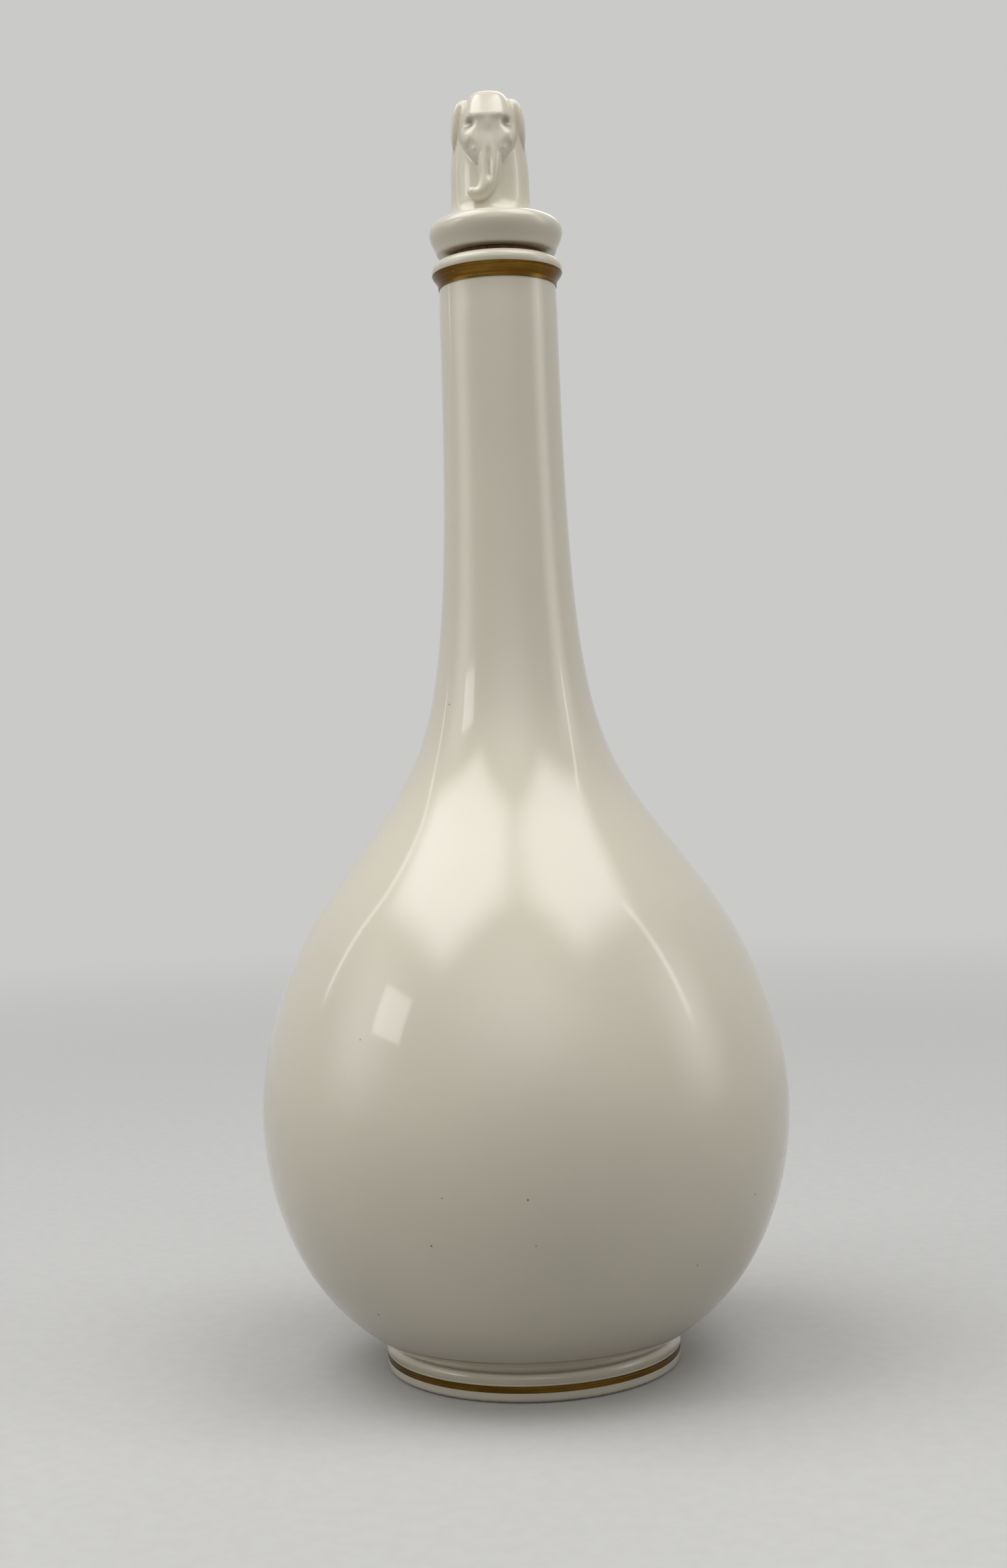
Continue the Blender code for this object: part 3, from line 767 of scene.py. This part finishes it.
class Finish:
    """A material with its nodes, and short ways to add more of them."""

    def __init__(self, name, colour, roughness, metallic=0.0):
        self.material = bpy.data.materials.new(name)
        self.material.use_nodes = True
        self.tree = self.material.node_tree
        self.shader = self.tree.nodes["Principled BSDF"]
        self.shader.inputs["Base Color"].default_value = (*colour, 1)
        self.shader.inputs["Roughness"].default_value = roughness
        self.shader.inputs["Metallic"].default_value = metallic
        self.place = self.add("ShaderNodeTexCoord").outputs["Object"]

    def add(self, kind, **settings):
        made = self.tree.nodes.new(kind)
        for name, value in settings.items():
            setattr(made, name, value)
        return made

    def put(self, value, socket):
        """Links an output to an input, or sets the input to a plain value."""
        if isinstance(value, bpy.types.NodeSocket):
            self.tree.links.new(value, socket)
        else:
            socket.default_value = value

    def stretched(self, stretch):
        """The place on the piece, stretched along the axes."""
        made = self.add("ShaderNodeMapping")
        self.put(self.place, made.inputs["Vector"])
        made.inputs["Scale"].default_value = stretch
        return made.outputs["Vector"]

    def noise(self, fineness, layers, place=None):
        made = self.add("ShaderNodeTexNoise")
        self.put(place or self.place, made.inputs["Vector"])
        made.inputs["Scale"].default_value = fineness
        made.inputs["Detail"].default_value = layers
        return made.outputs["Fac"]

    def streaks(self, stretch, layers):
        return self.noise(1, layers, self.stretched(stretch))

    def ranged(self, value, low, high, to_low=0.0, to_high=1.0):
        made = self.add("ShaderNodeMapRange", interpolation_type="SMOOTHSTEP")
        self.put(value, made.inputs["Value"])
        made.inputs["From Min"].default_value = low
        made.inputs["From Max"].default_value = high
        made.inputs["To Min"].default_value = to_low
        made.inputs["To Max"].default_value = to_high
        return made.outputs["Result"]

    def pattern(self, fineness, layers, low, high, to_low=0.0, to_high=1.0):
        """Noise that comes in smoothly between two of its levels."""
        return self.ranged(self.noise(fineness, layers), low, high, to_low, to_high)

    def dots(self, closeness, full, end, strength):
        """Round dots about points that are scattered through space."""
        made = self.add("ShaderNodeTexVoronoi")
        self.put(self.place, made.inputs["Vector"])
        made.inputs["Scale"].default_value = closeness
        return self.ranged(made.outputs["Distance"], full, end, strength, 0.0)

    def maths(self, operation, first, second):
        made = self.add("ShaderNodeMath", operation=operation)
        self.put(first, made.inputs[0])
        self.put(second, made.inputs[1])
        return made.outputs["Value"]

    def mixed(self, share, first, second):
        """A colour between two, by the share of the second."""
        made = self.add("ShaderNodeMix", data_type="RGBA")
        self.put(share, made.inputs["Factor"])
        sockets = [socket for socket in made.inputs if socket.type == "RGBA"]
        for colour, socket in zip((first, second), sockets):
            if not isinstance(colour, bpy.types.NodeSocket):
                colour = (*colour, 1)
            self.put(colour, socket)
        return [socket for socket in made.outputs if socket.type == "RGBA"][0]

    def height(self):
        made = self.add("ShaderNodeSeparateXYZ")
        self.put(self.place, made.inputs["Vector"])
        return made.outputs["Z"]

    def pointiness(self):
        """Above a half on edges, and below it in hollows."""
        return self.add("ShaderNodeNewGeometry").outputs["Pointiness"]

    def bump(self, value, depth, below=None):
        made = self.add("ShaderNodeBump")
        self.put(value, made.inputs["Height"])
        made.inputs["Distance"].default_value = depth
        made.inputs["Strength"].default_value = 1
        if below:
            self.put(below, made.inputs["Normal"])
        return made.outputs["Normal"]

    def relief(self, fineness, layers, depth, below=None):
        """A fine unevenness, on top of another where one is given."""
        return self.bump(self.noise(fineness, layers), depth, below)

    def colour_from(self, value):
        self.put(value, self.shader.inputs["Base Color"])

    def roughness_from(self, value):
        self.put(value, self.shader.inputs["Roughness"])

    def metallic_from(self, value):
        self.put(value, self.shader.inputs["Metallic"])

    def normal_from(self, value):
        self.put(value, self.shader.inputs["Normal"])


def porcelain(name, shade_places=()):
    """White glazed porcelain: warm white with faint clouds, a greyer tint in hollows that is
    partly glaze pooling there and partly painted shade, a darker painted shade about the places
    named, a few pinhead specks, and a soft ripple. The standing rim is unglazed."""
    made = Finish(name, WHITE, MEAN_GLAZE_ROUGHNESS)
    colour = made.mixed(made.pattern(*CLOUDS), WHITE, CLOUDED_WHITE)
    # Hollows greyed by their pointiness: partly glaze pooling, partly painted shade
    pooled_and_shaded = made.ranged(made.pointiness(), FLAT - HOLLOW, FLAT, 1.0, 0.0)
    colour = made.mixed(pooled_and_shaded, colour, POOLED_GLAZE_AND_SHADE)
    # Painted shade about the places named: the eye hollows
    for shade_place in shade_places:
        away = made.add("ShaderNodeVectorMath", operation="DISTANCE")
        made.put(made.place, away.inputs[0])
        away.inputs[1].default_value = shade_place
        eye_shade_share = made.ranged(away.outputs["Value"], 0.0, EYE_SHADE_REACH, 1.0, 0.0)
        colour = made.mixed(eye_shade_share, colour, EYE_SHADE)
    specks = made.dots(*SPECKS)
    colour = made.mixed(specks, colour, SPECK)
    colour = made.mixed(made.dots(*DUST), colour, FAINT_SPECK)
    waver = made.pattern(*RIM_WAVER, -BARE_RIM_WAVER, BARE_RIM_WAVER)
    height = made.maths("ADD", made.height(), waver)
    bare = made.ranged(height, BARE_RIM * BARE_SHARE, BARE_RIM, 1.0, 0.0)
    bisque = made.mixed(made.pattern(*BISQUE_GRAIN), BISQUE, STAINED_BISQUE)
    made.colour_from(made.mixed(bare, colour, bisque))
    gloss = made.pattern(*GLAZE_GLOSS, *GLAZE_ROUGHNESS)
    dull = made.maths("MULTIPLY", bare, BISQUE_ROUGHNESS)
    made.roughness_from(made.maths("MAXIMUM", gloss, dull))
    skin = made.relief(*ORANGE_PEEL, made.relief(*RIPPLE))
    made.normal_from(made.bump(specks, -SPECK_DEPTH, skin))
    for setting, value in GLAZE.items():
        made.shader.inputs[setting].default_value = value
    return made.material


def gold(name, roughness):
    """Fired gilding, brushed on round the axis: streaks along the brush's path, places where
    it is thinner and browner, and fine rubbed spots."""
    made = Finish(name, GOLD, roughness, 1.0)
    streaks = made.streaks(*BRUSH_STREAKS)
    thickness = made.maths("MULTIPLY", streaks, made.noise(*GOLD_PATCHES))
    full = made.ranged(thickness, *FULL_GOLD_LEVELS)
    colour = made.mixed(full, THIN_GOLD, GOLD)
    rubbed = made.pattern(*GOLD_RUBS)
    made.colour_from(made.mixed(rubbed, colour, RUBBED_GOLD))
    brushed = (roughness - BRUSHED_SMOOTHER, roughness + BRUSHED_ROUGHER)
    made.roughness_from(made.ranged(streaks, *BRUSHED_LEVELS, *brushed))
    made.metallic_from(made.ranged(rubbed, 0, 1, 1.0, RUBBED_METALLIC))
    made.normal_from(made.bump(streaks, BRUSH_RIDGE, made.relief(*GOLD_PEEL)))
    return made.material


def cork_finish(name):
    """Cork: mottled brown with lenticels as dark flecks that run across it."""
    made = Finish(name, CORK, MEAN_CORK_ROUGHNESS)
    mottle = made.pattern(*CORK_MOTTLE)
    colour = made.mixed(mottle, CORK, LIGHT_CORK)
    colour = made.mixed(made.dots(*CORK_GRAINS), colour, DARK_CORK)
    flecks = made.ranged(made.streaks(*CORK_STREAKS), *FLECK_LEVELS)
    made.colour_from(made.mixed(flecks, colour, DARK_CORK))
    made.roughness_from(made.ranged(mottle, 0, 1, *CORK_ROUGHNESS))
    made.normal_from(made.bump(flecks, -FLECK_DEPTH, made.relief(*CORK_GRAIN)))
    return made.material


def dress(piece, finish, node, body):
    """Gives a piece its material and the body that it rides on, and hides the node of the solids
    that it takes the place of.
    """
    piece.data.materials.clear()
    piece.data.materials.append(finish)
    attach(piece, body)
    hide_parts(node)


def add_camera():
    """The camera of the photograph, from its place, its three turns and its lens."""
    look = Vector((
        math.sin(CAMERA_YAW) * math.cos(CAMERA_PITCH),
        math.cos(CAMERA_YAW) * math.cos(CAMERA_PITCH),
        math.sin(CAMERA_PITCH),
    ))
    level = Vector((math.cos(CAMERA_YAW), -math.sin(CAMERA_YAW), 0))
    above = level.cross(look)
    right = math.cos(CAMERA_ROLL) * level + math.sin(CAMERA_ROLL) * above
    top = math.cos(CAMERA_ROLL) * above - math.sin(CAMERA_ROLL) * level
    data = bpy.data.cameras.new("camera")
    data.lens = CAMERA_LENS
    data.clip_start = CAMERA_NEAR
    camera = linked(data, "camera")
    turn = Matrix((right, top, -look)).transposed().to_4x4()
    camera.matrix_world = Matrix.Translation(CAMERA_PLACE) @ turn
    bpy.context.scene.camera = camera


def seen_share(tree):
    """1 for what the camera sees, straight or in a mirror or through glass, and 0 for what
    lights the surfaces."""
    path = tree.nodes.new("ShaderNodeLightPath")
    share = path.outputs["Is Camera Ray"]
    for other in ("Is Glossy Ray", "Is Transmission Ray"):
        either = tree.nodes.new("ShaderNodeMath")
        either.operation = "MAXIMUM"
        tree.links.new(share, either.inputs[0])
        tree.links.new(path.outputs[other], either.inputs[1])
        share = either.outputs["Value"]
    return share


def floor_piece():
    """A wide pale sheet. Away from the bottle it turns into the colour of the background,
    but only for what is seen or mirrored."""
    work = bmesh.new()
    bmesh.ops.create_circle(work, cap_ends=True, segments=FLOOR_SIDES, radius=FLOOR_RADIUS)
    floor = linked(mesh_of(work, "floor"), "floor")
    paper = Finish("paper", PAPER, PAPER_ROUGHNESS)
    paper.shader.inputs["Specular IOR Level"].default_value = PAPER_SPECULAR
    fibres = paper.mixed(paper.pattern(*PAPER_FIBRES), PAPER, PAPER_GRAIN)
    seen = seen_share(paper.tree)
    paper.colour_from(paper.mixed(seen, DIM_PAPER, fibres))
    away = paper.add("ShaderNodeVectorMath", operation="LENGTH")
    paper.put(paper.place, away.inputs["Vector"])
    far = paper.ranged(away.outputs["Value"], PLAIN_FLOOR_RADIUS, FADED_FLOOR_RADIUS)
    glow = paper.add("ShaderNodeEmission")
    glow.inputs["Color"].default_value = (*BACKGROUND, 1)
    blend = paper.add("ShaderNodeMixShader")
    paper.put(paper.maths("MULTIPLY", far, seen), blend.inputs["Fac"])
    paper.put(paper.shader.outputs["BSDF"], blend.inputs[1])
    paper.put(glow.outputs["Emission"], blend.inputs[2])
    paper.put(blend.outputs["Shader"], paper.tree.nodes["Material Output"].inputs["Surface"])
    floor.data.materials.append(paper.material)


def softbox(name, place, power, width, height, edge_share):
    """A rectangular lamp aimed at the bottle, whose face fades towards its edges."""
    data = bpy.data.lights.new(name, "AREA")
    data.shape = "RECTANGLE"
    data.energy = power
    data.size = width
    data.size_y = height
    data.use_nodes = True
    tree = data.node_tree
    where = tree.nodes.new("ShaderNodeNewGeometry")
    split = tree.nodes.new("ShaderNodeSeparateXYZ")
    tree.links.new(where.outputs["Parametric"], split.inputs["Vector"])
    fades = []
    for axis in ("X", "Y"):
        off = tree.nodes.new("ShaderNodeMath")
        off.operation = "PINGPONG"
        off.inputs[1].default_value = MIDDLE_OF_SIDE
        tree.links.new(split.outputs[axis], off.inputs[0])
        fade = tree.nodes.new("ShaderNodeMapRange")
        fade.interpolation_type = "SMOOTHSTEP"
        fade.inputs["From Max"].default_value = edge_share
        tree.links.new(off.outputs["Value"], fade.inputs["Value"])
        fades.append(fade.outputs["Result"])
    both = tree.nodes.new("ShaderNodeMath")
    both.operation = "MULTIPLY"
    for fade, socket in zip(fades, both.inputs):
        tree.links.new(fade, socket)
    tree.links.new(both.outputs["Value"], tree.nodes["Emission"].inputs["Strength"])
    lamp = linked(data, name)
    lamp.location = place
    lamp.rotation_mode = "QUATERNION"
    lamp.rotation_quaternion = (LAMPS_AIM - Vector(place)).to_track_quat("-Z", "Y")
    lamp.visible_camera = False


def add_world():
    """A weak even light from all round, and the background's plain colour where it is seen."""
    world = bpy.data.worlds.new("studio")
    world.use_nodes = True
    tree = world.node_tree
    light = tree.nodes["Background"]
    light.inputs["Color"].default_value = (*SKY, 1)
    light.inputs["Strength"].default_value = SKY_STRENGTH
    backdrop = tree.nodes.new("ShaderNodeBackground")
    backdrop.inputs["Color"].default_value = (*BACKGROUND, 1)
    blend = tree.nodes.new("ShaderNodeMixShader")
    tree.links.new(seen_share(tree), blend.inputs["Fac"])
    tree.links.new(light.outputs["Background"], blend.inputs[1])
    tree.links.new(backdrop.outputs["Background"], blend.inputs[2])
    tree.links.new(blend.outputs["Shader"], tree.nodes["World Output"].inputs["Surface"])
    bpy.context.scene.world = world


body_glaze = porcelain("body_glaze")
neck_gold = gold("neck_gold", NECK_GOLD_ROUGHNESS)
foot_gold = gold("foot_gold", FOOT_GOLD_ROUGHNESS)
cork_skin = cork_finish("cork")
# Centres of the painted shade in the eye hollows
eye_across, eye_front, eye_height = EYE_SHADE_SHARES
eye_shade_places = [head_point(side * eye_across, eye_front, eye_height) for side in (-1, 1)]
stopper_glaze = porcelain("stopper_glaze", eye_shade_places)
dress(bottle_piece(), body_glaze, "bottle", "bottle_body")
dress(neck_band_piece(), neck_gold, "neck_gold_band", "bottle_body")
dress(foot_band_piece(), foot_gold, "foot_gold_band", "bottle_body")
dress(cork_piece(), cork_skin, "cork_sleeve", "cork")
dress(stopper_piece(), stopper_glaze, "stopper", "stopper_head")

add_camera()
floor_piece()
for lamp_settings in LAMPS:
    softbox(*lamp_settings)
add_world()
bpy.context.scene.view_settings.view_transform = "Standard"
